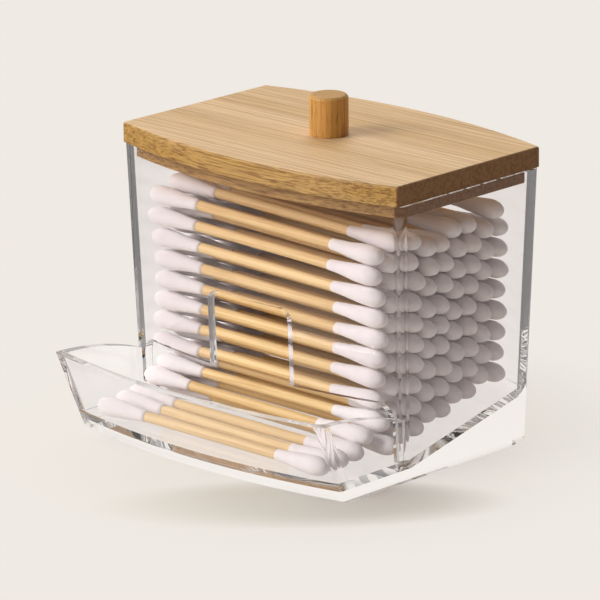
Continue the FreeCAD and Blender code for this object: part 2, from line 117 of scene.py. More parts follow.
class ClearBoxSettings(PropertyGroup):
    rim_level: length("Rim Level", "Height of the rim that the lid rests on", 67.2 * MM)
    rim_spread: length("Rim Spread", "How far each side leans out from base to rim", 1.45 * MM)
    base_half: length("Base Half", "Half the width at the base", 44 * MM)
    base_reach: length("Base Reach", "Middle of the bowed front and rear at the base", 27.5 * MM)
    rim_reach: length("Rim Reach", "Middle of the bowed front and rear at the rim", 30.4 * MM)
    bow: length("Bow", "Radius of the bowed front and rear", 158 * MM)
    wall: length("Wall", "Thickness of the walls", 2.3 * MM)
    corner: length("Corner", "Radius of the upright outer corners", 1.6 * MM)
    inner_corner: length("Inner Corner", "Radius of the upright inner corners", 1.7 * MM)
    floor_level: length("Floor Level", "Height of the floor inside the tray", 4.8 * MM)
    floor_thickness: length("Floor Thickness", "Thickness of the floor and the ramp", 2.2 * MM)
    ramp_setback: length("Ramp Setback", "From inside the front wall to the ramp's foot", 0.5 * MM)
    ramp_angle: turn("Ramp Angle", "Slope that the swabs roll down", 13.1)
    bend: length("Bend", "Radius of the outer bend from the ramp to the rear wall", 3 * MM)
    lip_level: length("Lip Level", "Height of the tray's lip", 20 * MM)
    lip_reach: length("Lip Reach", "Middle of the tray's lip", 54.7 * MM)
    lip_foot_reach: length("Lip Foot Reach", "Middle of the tray's front at the base", 46.2 * MM)
    lip_bow: length("Lip Bow", "Radius of the tray's bowed front", 190 * MM)
    cheek_drop: length("Cheek Drop", "Fall of the tray's side rims from lip to box", 4.9 * MM)
    slot_level: length("Slot Level", "Top of the slot that the swabs roll through", 18.7 * MM)
    slot_leg: length("Slot Leg", "Front wall left beside the slot", 1.4 * MM)
    slot_corner: length("Slot Corner", "Radius of the slot's upper corners", 4 * MM)
    notch_level: length("Notch Level", "Top of the finger notch", 37.4 * MM)
    notch_half: length("Notch Half", "Half the width of the finger notch", 13.2 * MM)
    notch_corner: length("Notch Corner", "Radius of the notch's upper corners", 3 * MM)
    foot_relief: length("Foot Relief", "Height of the step in the foot of the side walls", 0.9 * MM)
    foot_length: length("Foot Length", "From the middle of the box to that step", 17.6 * MM)
    rim_round: length("Rim Round", "Most that the outer edges are eased by", 0.3 * MM)
    crease_round: length("Crease Round", "Most that the inner creases are filled by", 0.6 * MM)
    tint: colour("Tint", "Colour that light takes on at each surface", (0.99, 0.978, 0.985))
    roughness: share("Roughness", "Haze of the moulded surface", 0.015)
    index: FloatProperty(
        name="Index", description="Refractive index of the plastic", default=1.49, min=1, max=2,
    )


class BambooSettings(PropertyGroup):
    rim_gap: length("Rim Gap", "Light gap between the rim and the shown lid", 0.05 * MM)
    edge_round: length("Edge Round", "Radius that eases the board's sanded edges", 0.25 * MM)
    strip_width: length("Strip Width", "Width of the strips in the board", 11 * MM)
    knob_strip_width: length("Knob Strip Width", "Width of the strips in the knob", 1.5 * MM)
    board: colour("Board", "Sanded top of the board", paint(231, 195, 147))
    side: colour("Side", "Front and rear edge of the board", paint(190, 146, 74))
    fibre: colour("Fibre", "Dark fibre bundles in the cut edges", paint(118, 76, 32))
    knob: colour("Knob", "Turned side of the knob", paint(224, 163, 84))
    end_grain: colour("End Grain", "Cut ends of the board", paint(142, 100, 58))
    glue_line: colour("Glue Line", "Seams between the strips", paint(170, 122, 74))


class SwabSettings(PropertyGroup):
    neck_radius: length("Neck Radius", "Radius of the cotton where it leaves the stick", 1.32 * MM)
    bud_radius: length("Bud Radius", "Largest radius of the cotton", 2.34 * MM)
    full_at: length("Full At", "Distance from the tip at which the cotton is thickest", 4 * MM)
    lump: length("Lump", "How far the wound cotton strays from its even shape", 0.09 * MM)
    bud_sides: count("Bud Sides", "Segments around each bud", 24)
    bud_rings: count("Bud Rings", "Segments along each bud", 22)
    stick_sides: count("Stick Sides", "Segments around each stick", 16)
    stick_bow: length("Stick Bow", "How far a stick strays from straight", 0.12 * MM)
    cotton: colour("Cotton", "Bleached cotton", paint(247, 240, 239))
    wood: colour("Wood", "Peeled stick", paint(246, 214, 156))
    streak: colour("Streak", "Darker grain of the sticks", paint(198, 148, 84))


class StageSettings(PropertyGroup):
    bounces: count("Bounces", "How many times light may turn inside the clear walls", 48)
    azimuth: turn("Azimuth", "Camera's turn about the object from its front", 43.93)
    elevation: turn("Elevation", "Camera's height as an angle above level", 16.46)
    roll: turn("Roll", "Camera's turn about its own axis", -0.5)
    distance: length("Distance", "Camera to the point that it looks at", 1.2043)
    lens: FloatProperty(name="Lens", description="Focal length", default=300, min=1, unit="CAMERA")
    backdrop: colour("Backdrop", "Colour of the floor and the surroundings", paint(239, 234, 227))
    # Darker than the backdrop: where the floor shows this paint, it carries painted shadow as well
    # as the lamps' shadow.
    floor: colour("Floor", "Paint of the floor near the holder", paint(233, 229, 218))
    glow: colour("Glow", "What shows through the clear walls", paint(247, 243, 237))
    flag: colour("Flag", "Grey stripes that the clear edges show", paint(128, 126, 126))
    mirrored: colour("Mirrored", "What the clear walls mirror of the floor", paint(140, 136, 133))


# ---------------------------------------------------------------- shader maths
class Field:
    """A number or colour that varies over a surface; arithmetic on numbers adds Math nodes."""

    def __init__(self, finish, socket):
        self.finish = finish
        self.socket = socket

    def math(self, operation, *values):
        return self.finish.node("Math", {"operation": operation}, dict(enumerate(values)))

    def __add__(self, other):
        return self.math("ADD", self, other)

    def __sub__(self, other):
        return self.math("SUBTRACT", self, other)

    def __rsub__(self, other):
        return self.math("SUBTRACT", other, self)

    def __mul__(self, other):
        return self.math("MULTIPLY", self, other)

    def __truediv__(self, other):
        return self.math("DIVIDE", self, other)

    def __gt__(self, other):
        return self.math("GREATER_THAN", self, other)

    def __abs__(self):
        return self.math("ABSOLUTE", self)

    __radd__ = __add__
    __rmul__ = __mul__

    def floor(self):
        return self.math("FLOOR", self)

    def fraction(self):
        return self.math("FRACT", self)

    def larger(self, other):
        return self.math("MAXIMUM", self, other)

    def ramp(self, low, high, to_low=0, to_high=1):
        """The number as it moves from low to high, smoothed and held at both ends."""
        sockets = {
            "Value": self, "From Min": low, "From Max": high, "To Min": to_low, "To Max": to_high,
        }
        return self.finish.node("MapRange", {"interpolation_type": "SMOOTHSTEP"}, sockets)


class Finish:
    """A procedural material and the nodes that it is made of."""

    def __init__(self, name, holder=None):
        self.data = holder or bpy.data.materials.new(name)
        self.data.use_nodes = True
        self.tree = self.data.node_tree
        self.tree.nodes.clear()

    def node(self, kind, settings=None, sockets=None, output=0):
        """Add a node: its own settings first, then the values or links of its sockets."""
        made = self.tree.nodes.new("ShaderNode" + kind)
        for key, value in (settings or {}).items():
            setattr(made, key, value)
        for key, value in (sockets or {}).items():
            if isinstance(value, Field):
                self.tree.links.new(value.socket, made.inputs[key])
            elif made.inputs[key].type == "RGBA":
                made.inputs[key].default_value = (*value, 1)
            else:
                made.inputs[key].default_value = value
        return Field(self, made.outputs[output])

    def mix(self, low, high, factor):
        """Blend two colours."""
        return self.node("Mix", {"data_type": "RGBA"}, {0: factor, 6: low, 7: high}, output=2)

    def place(self):
        """Where a surface point lies in the object's own frame."""
        return self.node("TexCoord", output=3)

    def facing(self):
        """Which way the surface faces in the object's own frame."""
        return self.node("TexCoord", output=1)

    def parts(self, vector):
        """A vector's three numbers."""
        split = self.node("SeparateXYZ", None, {0: vector}).socket.node
        return [Field(self, socket) for socket in split.outputs]

    def noise(self, place, pattern, detail, roughness=0.5):
        """Noise that repeats a pattern's number of times in a metre along X, Y and Z."""
        spread = self.node("VectorMath", {"operation": "MULTIPLY"}, {0: place, 1: pattern})
        sockets = {"Vector": spread, "Scale": 1.0, "Detail": detail, "Roughness": roughness}
        return self.node("TexNoise", None, sockets)

    def tone(self):
        """The tone from 0 to 1 that each swab's points carry."""
        return self.node("Attribute", {"attribute_name": "tone"}, output=2)

    def chance(self, number):
        """An even chance from 0 to 1 that belongs to a whole number."""
        return self.node("TexWhiteNoise", {"noise_dimensions": "1D"}, {"W": number})

    def bump(self, height, distance, strength):
        sockets = {"Height": height, "Distance": distance, "Strength": strength}
        return self.node("Bump", None, sockets)

    def principled(self, **sockets):
        """The Principled shader, with underscores in its sockets' names read as spaces."""
        named = {key.replace("_", " "): value for key, value in sockets.items()}
        return self.node("BsdfPrincipled", None, named)

    def output(self, shader, kind="OutputMaterial"):
        """Show a shader, and hand over the material or world that it belongs to."""
        shown = self.tree.nodes.new("ShaderNode" + kind)
        self.tree.links.new(shader.socket, shown.inputs["Surface"])
        return self.data


# ---------------------------------------------------------------- finishes
# Patterns of noise: repeats in a metre along X, Y and Z, few of them along the fibres.
SMEARS = (60, 60, 60)
FINE_LINES = (14, 1400, 1400)
BROAD_BANDS = (9, 150, 150)
FLECKS = (110, 2600, 2600)
PORES = (1300, 1300, 1300)
KNOB_LINES = (1500, 1500, 60)
KNOB_FLECKS = (1400, 1400, 200)
STICK_LINES = (25, 1800, 1800)
STICK_PATCHES = (60, 300, 300)
WISPS = (900, 1900, 1900)
PUFFS = (350, 450, 450)
# Depths of the relief in each surface.
BAMBOO_RELIEF, STICK_RELIEF, COTTON_RELIEF = 0.12 * MM, 0.1 * MM, 0.3 * MM
# Where the first strip of the board starts, as a share of a strip.
STRIP_START = 0.37
# How much the knob's strips turn with Y as well as with X.
KNOB_STRIP_TURN = 0.6


def clear_plastic(settings):
    """Moulded clear plastic, through which lamps and soft light reach what lies inside."""
    finish = Finish("clear_plastic")
    smear = finish.noise(finish.place(), SMEARS, 3)
    plastic = finish.principled(
        Base_Color=settings.tint, Roughness=smear.ramp(0.35, 0.75, 0, settings.roughness),
        IOR=settings.index, Transmission_Weight=1.0,
    )
    open_way = finish.node("BsdfTransparent", None, {"Color": settings.tint})
    lamp_ray = finish.node("LightPath", output="Is Shadow Ray")
    soft_ray = finish.node("LightPath", output="Is Diffuse Ray")
    sockets = {0: lamp_ray.larger(soft_ray), 1: plastic, 2: open_way}
    return finish.output(finish.node("MixShader", None, sockets))


def bamboo_board(settings):
    """Glued-up bamboo with its fibres along X: sanded faces, flecked edges, dark cut ends."""
    finish = Finish("bamboo_board")
    place = finish.place()
    facing_x, facing_y, _ = finish.parts(finish.facing())
    strip = finish.parts(place)[1] / settings.strip_width + STRIP_START
    strip_tone = finish.chance(strip.floor())
    seam = abs(strip.fraction() - 0.5).ramp(0.485, 0.5)
    fine = finish.noise(place, FINE_LINES, 3, 0.6)
    broad = finish.noise(place, BROAD_BANDS, 2)
    fleck = finish.noise(place, FLECKS, 3, 0.6)
    pore = finish.noise(place, PORES, 2)
    lines = fine.ramp(0.42, 0.68)
    browned = strip_tone * 0.3 + broad.ramp(0.35, 0.7) * 0.25
    top = finish.mix(settings.board, settings.side, browned)
    top = finish.mix(top, settings.fibre, lines * 0.38 + fleck.ramp(0.5, 0.75) * 0.24)
    top = finish.mix(top, settings.glue_line, seam * 0.7)
    side = finish.mix(settings.side, settings.board, broad.ramp(0.4, 0.65) * 0.2)
    side = finish.mix(side, settings.fibre, fleck.ramp(0.42, 0.62) * 0.6 + lines * 0.3)
    end = finish.mix(settings.end_grain, settings.fibre, pore.ramp(0.42, 0.6) * 0.75)
    is_side = abs(facing_y).ramp(0.35, 0.75)
    is_end = abs(facing_x).ramp(0.35, 0.75)
    return finish.output(finish.principled(
        Base_Color=finish.mix(finish.mix(top, side, is_side), end, is_end),
        Roughness=fine.ramp(0.3, 0.8, 0.42, 0.6), IOR=1.45,
        Normal=finish.bump(fine * 0.6 + fleck * 0.4, BAMBOO_RELIEF, 0.6),
    ))


def bamboo_knob(settings):
    """Turned bamboo with its fibres upright and its strips showing around the side."""
    finish = Finish("bamboo_knob")
    place = finish.place()
    x, y, _ = finish.parts(place)
    facing_z = finish.parts(finish.facing())[2]
    strip = (x + y * KNOB_STRIP_TURN) / settings.knob_strip_width
    strip_tone = finish.chance(strip.floor())
    seam = abs(strip.fraction() - 0.5).ramp(0.4, 0.5)
    fine = finish.noise(place, KNOB_LINES, 3, 0.6)
    fleck = finish.noise(place, KNOB_FLECKS, 2)
    side = finish.mix(settings.knob, settings.side, strip_tone * 0.6)
    side = finish.mix(side, settings.fibre, seam * 0.45 + fine.ramp(0.5, 0.7) * 0.35)
    side = finish.mix(side, settings.fibre, fleck.ramp(0.56, 0.64) * 0.3)
    cut = finish.mix(settings.side, settings.glue_line, fine.ramp(0.35, 0.7) * 0.7)
    return finish.output(finish.principled(
        Base_Color=finish.mix(side, cut, facing_z.ramp(0.5, 0.9)),
        Roughness=fine.ramp(0.3, 0.8, 0.42, 0.6), IOR=1.45,
        Normal=finish.bump(fine, BAMBOO_RELIEF, 0.6),
    ))


def peeled_wood(settings):
    """Birch of the sticks, with grain along X and a tone of its own for each stick."""
    finish = Finish("peeled_wood")
    place = finish.place()
    tone = finish.tone()
    grain = finish.noise(place, STICK_LINES, 3, 0.6)
    patch = finish.noise(place, STICK_PATCHES, 2)
    wood = finish.mix(settings.wood, settings.streak, grain.ramp(0.45, 0.75) * 0.45 + tone * 0.3)
    wood = finish.mix(wood, settings.streak, patch.ramp(0.55, 0.8) * 0.3)
    return finish.output(finish.principled(
        Base_Color=wood, Roughness=grain.ramp(0.3, 0.8, 0.55, 0.75),
        Normal=finish.bump(grain, STICK_RELIEF, 0.5),
    ))


def wound_cotton(settings):
    """Cotton wool wound over a stick, soft and without shine."""
    finish = Finish("wound_cotton")
    place = finish.place()
    tone = finish.tone()
    wisp = finish.noise(place, WISPS, 4, 0.65)
    puff = finish.noise(place, PUFFS, 2)
    shade = [level * 0.9 for level in settings.cotton]
    cotton = finish.mix(settings.cotton, shade, puff.ramp(0.35, 0.75) * 0.35 + tone * 0.25)
    return finish.output(finish.principled(
        Base_Color=cotton, Roughness=wisp.ramp(0.2, 0.8, 0.9, 1.0), IOR=1.3,
        Sheen_Weight=0.25, Sheen_Roughness=0.6,
        Normal=finish.bump(wisp * 0.6 + puff * 0.4, COTTON_RELIEF, 0.5),
    ))


# ---------------------------------------------------------------- meshes
# Corners nearer than these are one corner, in the frame's solids and after rounding.
SAME_CORNER = 0.002 * MM
SAME_ROUNDED_CORNER = 0.001 * MM
# Angles up to which facets are one flat face, in the frame's solids and in the moulding.
FLAT_FACETS = math.radians(0.5)
FLAT_CUT = math.radians(0.05)
# The least angle at which two surfaces meet in an edge.
SHARP = math.radians(20)
# Material index that marks the faces of a rounded edge while a shape is being made.
ROUNDED = 1


def new_piece(name, mesh, material, body, slot, *replaced):
    """Put a mesh in the scene as a piece of a body that stands for CAD nodes."""
    mesh.materials.clear()
    mesh.materials.append(material)
    piece = bpy.data.objects.new(name, mesh)
    bpy.context.scene.collection.objects.link(piece)
    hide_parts(*replaced)
    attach(piece, body)
    return piece


def joined_facets(node):
    """A CAD node's shape with its doubled corners merged and its flat facets joined."""
    shape = bmesh.new()
    shape.from_mesh(NODES[node].data)
    bmesh.ops.remove_doubles(shape, verts=shape.verts, dist=SAME_CORNER)
    bmesh.ops.dissolve_limit(
        shape, angle_limit=FLAT_FACETS, verts=shape.verts, edges=shape.edges,
    )
    return shape


def sharp_edges(shape, convex):
    """The convex or concave edges between a shape's smooth surfaces."""
    return [
        edge for edge in shape.edges
        if edge.is_manifold and edge.calc_face_angle() > SHARP and edge.is_convex == convex
        and all(face.material_index != ROUNDED for face in edge.link_faces)
    ]


def round_edges(shape, edges, radius, segments=3):
    """Round some edges, as far as the shortest of them leave room, and mark the new faces."""
    bmesh.ops.bevel(
        shape, geom=edges, affect="EDGES", offset=radius, offset_type="OFFSET",
        segments=segments, profile=0.5, clamp_overlap=True, loop_slide=True,
        material=ROUNDED, miter_outer="SHARP", miter_inner="SHARP",
    )


def smooth_surfaces(shape):
    """Number the smooth surfaces: faces that meet at a slight angle share a number, from 1 up."""
    shape.faces.ensure_lookup_table()
    surface = shape.faces.layers.int.new("surface")
    number = 0
    for start in shape.faces:
        if start[surface] or start.material_index == ROUNDED:
            continue
        number += 1
        start[surface] = number
        waiting = [start]
        while waiting:
            face = waiting.pop()
            for edge in face.edges:
                if edge.calc_face_angle(0) > SHARP:
                    continue
                for other in edge.link_faces:
                    if not other[surface] and other.material_index != ROUNDED:
                        other[surface] = number
                        waiting.append(other)
    return surface


def finished_mesh(shape, name):
    """The shape's mesh, shaded so that rounded edges run smoothly into the surfaces beside them."""
    surface = smooth_surfaces(shape)
    directions = []
    at_corner = {}
    for vertex in shape.verts:
        sums = {}
        for face in vertex.link_faces:
            sums[face[surface]] = sums.get(face[surface], Vector()) + face.normal * face.calc_area()
        at_corner[vertex] = {number: total.normalized() for number, total in sums.items()}
    for face in shape.faces:
        face.smooth = True
        for loop in face.loops:
            known = at_corner[loop.vert]
            if not face[surface]:
                beside = [number for number in known if number]
                directions.append(known[beside[0] if len(beside) == 1 else 0])
            else:
                directions.append(known[face[surface]])
    for face in shape.faces:
        face.material_index = 0
    mesh = bpy.data.meshes.new(name)
    shape.to_mesh(mesh)
    shape.free()
    mesh.normals_split_custom_set(directions)
    return mesh


def bamboo_piece(node, name, finish, settings):
    """Ease a CAD node's edges, and put it in the scene as a bamboo piece of the lid."""
    shape = joined_facets(node)
    round_edges(shape, sharp_edges(shape, True), settings.edge_round)
    bmesh.ops.translate(shape, verts=shape.verts, vec=(0, 0, settings.rim_gap))
    new_piece(name, finished_mesh(shape, name), finish(settings), "lid", "bamboo", node)


# ---------------------------------------------------------------- clear moulding
# Facets along the bowed walls, the upright corners, the openings' corners, the cheeks and the bend.
BOW_STEPS, CORNER_STEPS, OPENING_STEPS, CHEEK_STEPS, BEND_STEPS = 36, 7, 8, 16, 6
# What tells the outer bend: how far to the rear it lies, as a share, and how far it faces down.
BEND_REACH, BEND_FACING = 0.7, -0.8


def bowed_outline(half, front, rear, bow, corner):
    """Points around an outline with bowed front and rear, straight sides and rounded corners."""
    points = []
    edge = math.asin((half - corner) / (bow - corner))
    rise = (bow - corner) * math.cos(edge)
    for sign, reach in ((1, rear), (-1, front)):
        middle = reach - bow
        arcs = (
            (half - corner, middle + rise, corner, math.pi / 2, edge, range(CORNER_STEPS)),
            (0, middle, bow, edge, -edge, range(BOW_STEPS)),
            (corner - half, middle + rise, corner, -edge, -math.pi / 2, range(CORNER_STEPS + 1)),
        )
        for x, y, radius, first, last, steps in arcs:
            total = BOW_STEPS if radius == bow else CORNER_STEPS
            for step in steps:
                angle = first + (last - first) * step / total
                across, ahead = x + radius * math.sin(angle), y + radius * math.cos(angle)
                points.append((sign * across, sign * ahead))
    return points


def column_ring(s, level, inset, corner):
    """Outline of the upright box at a level, drawn in from its outside."""
    half = s.base_half + level * s.rim_spread / s.rim_level - inset
    reach = s.base_reach + level * (s.rim_reach - s.base_reach) / s.rim_level - inset
    return [(x, y, level) for x, y in bowed_outline(half, reach, reach, s.bow - inset, corner)]


def tray_ring(s, level, inset, rear, corner):
    """Outline of the flared tray at a level, drawn in from its outside."""
    half = s.base_half + level * s.rim_spread / s.rim_level - inset
    front = s.lip_foot_reach + level * (s.lip_reach - s.lip_foot_reach) / s.lip_level - inset
    return [(x, y, level) for x, y in bowed_outline(half, front, rear, s.lip_bow - inset, corner)]


def prism(name, first, last):
    """Closed solid between two outlines of equally many points."""
    shape = bmesh.new()
    low, high = ([shape.verts.new(point) for point in ring] for ring in (first, last))
    for index in range(len(low)):
        following = (index + 1) % len(low)
        shape.faces.new((low[index], low[following], high[following], high[index]))
    shape.faces.new(low)
    shape.faces.new(high)
    bmesh.ops.recalc_face_normals(shape, faces=shape.faces)
    mesh = bpy.data.meshes.new(name)
    shape.to_mesh(mesh)
    shape.free()
    solid = bpy.data.objects.new(name, mesh)
    bpy.context.scene.collection.objects.link(solid)
    return solid


def ring_prism(name, ring, s, low, high, *outline):
    """Solid between one kind of outline at two levels."""
    return prism(name, ring(s, low, *outline), ring(s, high, *outline))


def side_prism(s, name, section):
    """Bar across the box whose section is given as points in Y and Z."""
    width = 2 * s.base_half
    return prism(name, *([(x, y, z) for y, z in section] for x in (-width, width)))


def front_opening(s, name, half, foot, top, corner, ramp_front):
    """Bar through the front wall with its two upper corners rounded."""
    section = [(half, foot)]
    for middle, first in ((half - corner, 0), (corner - half, math.pi / 2)):
        for step in range(OPENING_STEPS + 1):
            angle = first + step / OPENING_STEPS * math.pi / 2
            across, up = corner * math.cos(angle), corner * math.sin(angle)
            section.append((middle + across, top - corner + up))
    section.append((-half, foot))
    reaches = -ramp_front, -s.rim_reach - s.wall
    return prism(name, *([(x, y, z) for x, z in section] for y in reaches))


def combined(operation, base, tool):
    """Join, cut or intersect two solids; the tool is used up."""
    change = base.modifiers.new(operation, "BOOLEAN")
    change.operation = operation
    change.solver = "EXACT"
    change.object = tool
    changed = base.evaluated_get(bpy.context.evaluated_depsgraph_get())
    mesh = bpy.data.meshes.new_from_object(changed)
    base.modifiers.clear()
    used = [base.data, tool.data]
    base.data = mesh
    bpy.data.objects.remove(tool)
    for old in used:
        bpy.data.meshes.remove(old)
    return base


def moulding(s):
    """The box, its tray and its ramp in one piece, with the hollows and openings cut out."""
    top = s.rim_level + s.wall
    slope = math.tan(s.ramp_angle)
    far = 2 * s.lip_reach

    def corner_of(reach, bow):
        return reach - bow + math.sqrt(bow ** 2 - s.base_half ** 2)

    box_corner, lip_corner = corner_of(s.base_reach, s.bow), corner_of(s.lip_reach, s.lip_bow)
    ramp_front = box_corner - s.wall - s.ramp_setback
    span = lip_corner - box_corner
    cheek_bow = (span ** 2 + s.cheek_drop ** 2) / (2 * s.cheek_drop)
    sweep = math.asin(span / cheek_bow)
    cheek = [(-lip_corner, top)]
    for step in range(CHEEK_STEPS + 1):
        angle = sweep * step / CHEEK_STEPS
        ahead, fall = cheek_bow * math.sin(angle), cheek_bow * (1 - math.cos(angle))
        cheek.append((ahead - lip_corner, s.lip_level - fall))
    cheek += [(0, s.lip_level - s.cheek_drop), (0, top)]
    body = ring_prism("box", tray_ring, s, 0, s.lip_level, 0, 0, s.corner)
    body = combined("DIFFERENCE", body, side_prism(s, "cheeks", cheek))
    tray = ring_prism("tray", tray_ring, s, s.floor_level, top, s.wall, 0, s.inner_corner)
    body = combined("DIFFERENCE", body, tray)
    column = ring_prism("column", column_ring, s, 0, s.rim_level, 0, s.corner)
    body = combined("UNION", body, column)

    below = -s.wall
    foot = ring_prism("foot", tray_ring, s, below, s.lip_level, s.wall, far, s.inner_corner)
    under = s.floor_level - s.floor_thickness
    under_front = s.floor_thickness * math.tan(s.ramp_angle / 2) - ramp_front
    under_ramp = [
        (-far, 2 * below), (far, 2 * below), (far, under + (far - under_front) * slope),
        (under_front, under), (-far, under),
    ]
    hollow = combined("INTERSECT", foot, side_prism(s, "under_ramp", under_ramp))
    body = combined("DIFFERENCE", body, hollow)
    relief = [
        (s.foot_length, below), (far, below), (far, s.foot_relief), (s.foot_length, s.foot_relief),
    ]
    body = combined("DIFFERENCE", body, side_prism(s, "relief", relief))

    room = ring_prism("room", column_ring, s, 0, top, s.wall, s.inner_corner)
    over_ramp = [
        (-far, s.floor_level), (-ramp_front, s.floor_level),
        (far, s.floor_level + (far + ramp_front) * slope), (far, far + top), (-far, far + top),
    ]
    hollow = combined("INTERSECT", room, side_prism(s, "over_ramp", over_ramp))
    body = combined("DIFFERENCE", body, hollow)
    slot_half = s.base_half + s.floor_level * s.rim_spread / s.rim_level - s.wall - s.slot_leg
    slot = front_opening(
        s, "slot", slot_half, s.floor_level, s.slot_level, s.slot_corner, ramp_front,
    )
    notch_foot = s.slot_level - s.slot_corner
    notch = front_opening(
        s, "notch", s.notch_half, notch_foot, s.notch_level, s.notch_corner, ramp_front,
    )
    return combined("DIFFERENCE", combined("DIFFERENCE", body, slot), notch)


def rear_bend(shape, s):
    """The edges along which the ramp's underside turns up into the rear wall."""
    def in_bend(edge):
        corners = [corner.co for corner in edge.verts]
        return (
            all(place.y > BEND_REACH * s.base_reach for place in corners)
            and all(s.floor_level < place.z < s.lip_level for place in corners)
            and min(face.normal.z for face in edge.link_faces) < BEND_FACING
        )
    return [edge for edge in sharp_edges(shape, True) if in_bend(edge)]


# ---------------------------------------------------------------- swabs
# How deep the flat end of a bud's outline may lie.
END_DEPTH = 0.6 * MM
# The size of the cells in which neighbouring swabs share a tone.
TONE_CELL = 2.5 * MM
# A bud's tip: its least radius as a share of the full one, and the power that makes it blunt.
TIP_SHARE, TIP_POWER = 0.03, 0.9
# The share of a bud's taper that is eased at both ends; the rest of it is straight.
TAPER_EASED = 0.45
# Lumps in a metre of cotton, the share of the fine ones, and how far a lump may stand out.
COARSE_LUMPS, FINE_LUMPS, FINE_SHARE, HIGHEST_LUMP = 330, 1100, 0.35, 0.3
# Rings along a stick, the noise that bends it, and how far it is out of round.
STICK_STEPS, SWAY_NOISE, OUT_OF_ROUND = 8, 400, 0.02
# A step aside in the noise, so that a second number doesn't follow the first.
ASIDE = Vector((5, 5, 5))


def loose_parts(node):
    """The corners of every solid in a CAD node, as arrays of points."""
    shape = joined_facets(node)
    shape.verts.index_update()
    group = list(range(len(shape.verts)))

    def root(index):
        while group[index] != index:
            group[index] = group[group[index]]
            index = group[index]
        return index

    for edge in shape.edges:
        group[root(edge.verts[0].index)] = root(edge.verts[1].index)
    parts = {}
    for vertex in shape.verts:
        parts.setdefault(root(vertex.index), []).append(vertex.co[:])
    shape.free()
    return [np.array(points) for points in parts.values()]


def ends(points):
    """Middle of a long solid's left end and of its right end."""
    middle = (points[:, 0].min() + points[:, 0].max()) / 2
    low, high = points[points[:, 0] < middle], points[points[:, 0] > middle]
    return low.mean(axis=0), high.mean(axis=0)


def ring_middle(points, along):
    """Middle of a bud's outline at one end."""
    return points[np.abs(points[:, 0] - along) < END_DEPTH].mean(axis=0)


def tube_mesh(name, tubes, sides):
    """One closed mesh of many round bodies, each (rings of (centre, radii), direction, tone)."""
    points, faces, tones = [], [], []
    angles = np.arange(sides) * 2 * math.pi / sides
    for rings, direction, tone in tubes:
        first = len(points)
        along = Vector(direction).normalized()
        across = along.cross(Vector((0, 0, 1))).normalized()
        up = across.cross(along)
        for centre, radii in rings:
            for angle, radius in zip(angles, radii):
                point = Vector(centre) + across * (math.cos(angle) * radius)
                points.append(point + up * (math.sin(angle) * radius))
        for ring in range(len(rings) - 1):
            start = first + ring * sides
            above = start + sides
            for side in range(sides):
                following = (side + 1) % sides
                faces.append((start + side, above + side, above + following, start + following))
        last = first + (len(rings) - 1) * sides
        faces.append(tuple(range(first, first + sides)))
        faces.append(tuple(reversed(range(last, last + sides))))
        tones += [tone] * (len(points) - first)
    mesh = bpy.data.meshes.new(name)
    mesh.from_pydata(points, [], faces)
    carried = mesh.attributes.new("tone", "FLOAT", "POINT")
    carried.data.foreach_set("value", np.array(tones, np.float32))
    mesh.shade_smooth()
    mesh.update()
    return mesh


def tone_at(point):
    """A tone from 0 to 1 that stays with a place in the pile."""
    return (noise.cell(Vector(point) / TONE_CELL) + 1) / 2


def bud_rings(tip, neck, settings):
    """Rings from the rounded tip to the neck: blunt and full near the tip, then tapering evenly."""
    tip, neck = Vector(tip), Vector(neck)
    reach = (neck - tip).length
    along = (neck - tip) / reach
    cap = settings.full_at
    angles = [2 * math.pi * side / settings.bud_sides for side in range(settings.bud_sides)]
    rings = []
    for ring in range(settings.bud_rings + 1):
        step = ring / settings.bud_rings
        if step < 0.5:
            angle = step * math.pi
            distance = cap * (1 - math.cos(angle))
            radius = settings.bud_radius * max(math.sin(angle), TIP_SHARE) ** TIP_POWER
        else:
            taper = (step - 0.5) * 2
            distance = cap + (reach - cap) * taper
            eased = taper * taper * (3 - 2 * taper)
            slope = eased * TAPER_EASED + taper * (1 - TAPER_EASED)
            radius = settings.bud_radius + (settings.neck_radius - settings.bud_radius) * slope
        centre = tip + along * distance
        around = []
        for angle in angles:
            place = centre + Vector((0, math.cos(angle), math.sin(angle))) * radius
            fine = FINE_SHARE * noise.noise(place * FINE_LUMPS)
            lump = min(noise.noise(place * COARSE_LUMPS) + fine, HIGHEST_LUMP)
            around.append(radius + lump * settings.lump * min(radius / settings.neck_radius, 1))
        rings.append((centre, around))
    return rings


def stick_rings(left, right, settings):
    """Rings along a peeled stick, which strays a little from straight and round."""
    left, right = Vector(left), Vector(right)
    start = left * SWAY_NOISE
    bent = Vector((0, noise.noise(start), noise.noise(start + ASIDE)))
    own = left.z * 500 + left.y * 300
    rings = []
    for ring in range(STICK_STEPS + 1):
        step = ring / STICK_STEPS
        centre = left.lerp(right, step)
        centre += bent * (settings.stick_bow * math.sin(step * math.pi))
        around = [
            STICK_RADIUS * (1 + OUT_OF_ROUND * noise.noise(Vector((step * 3, side * 0.7, own))))
            for side in range(settings.stick_sides)
        ]
        rings.append((centre, around))
    return rings


# Half the width of the first stick in the last of the stick nodes: all sticks are alike.
STICK_RADIUS = float(np.ptp(loose_parts(STICK_NODES[-1])[0][:, 1])) / 2


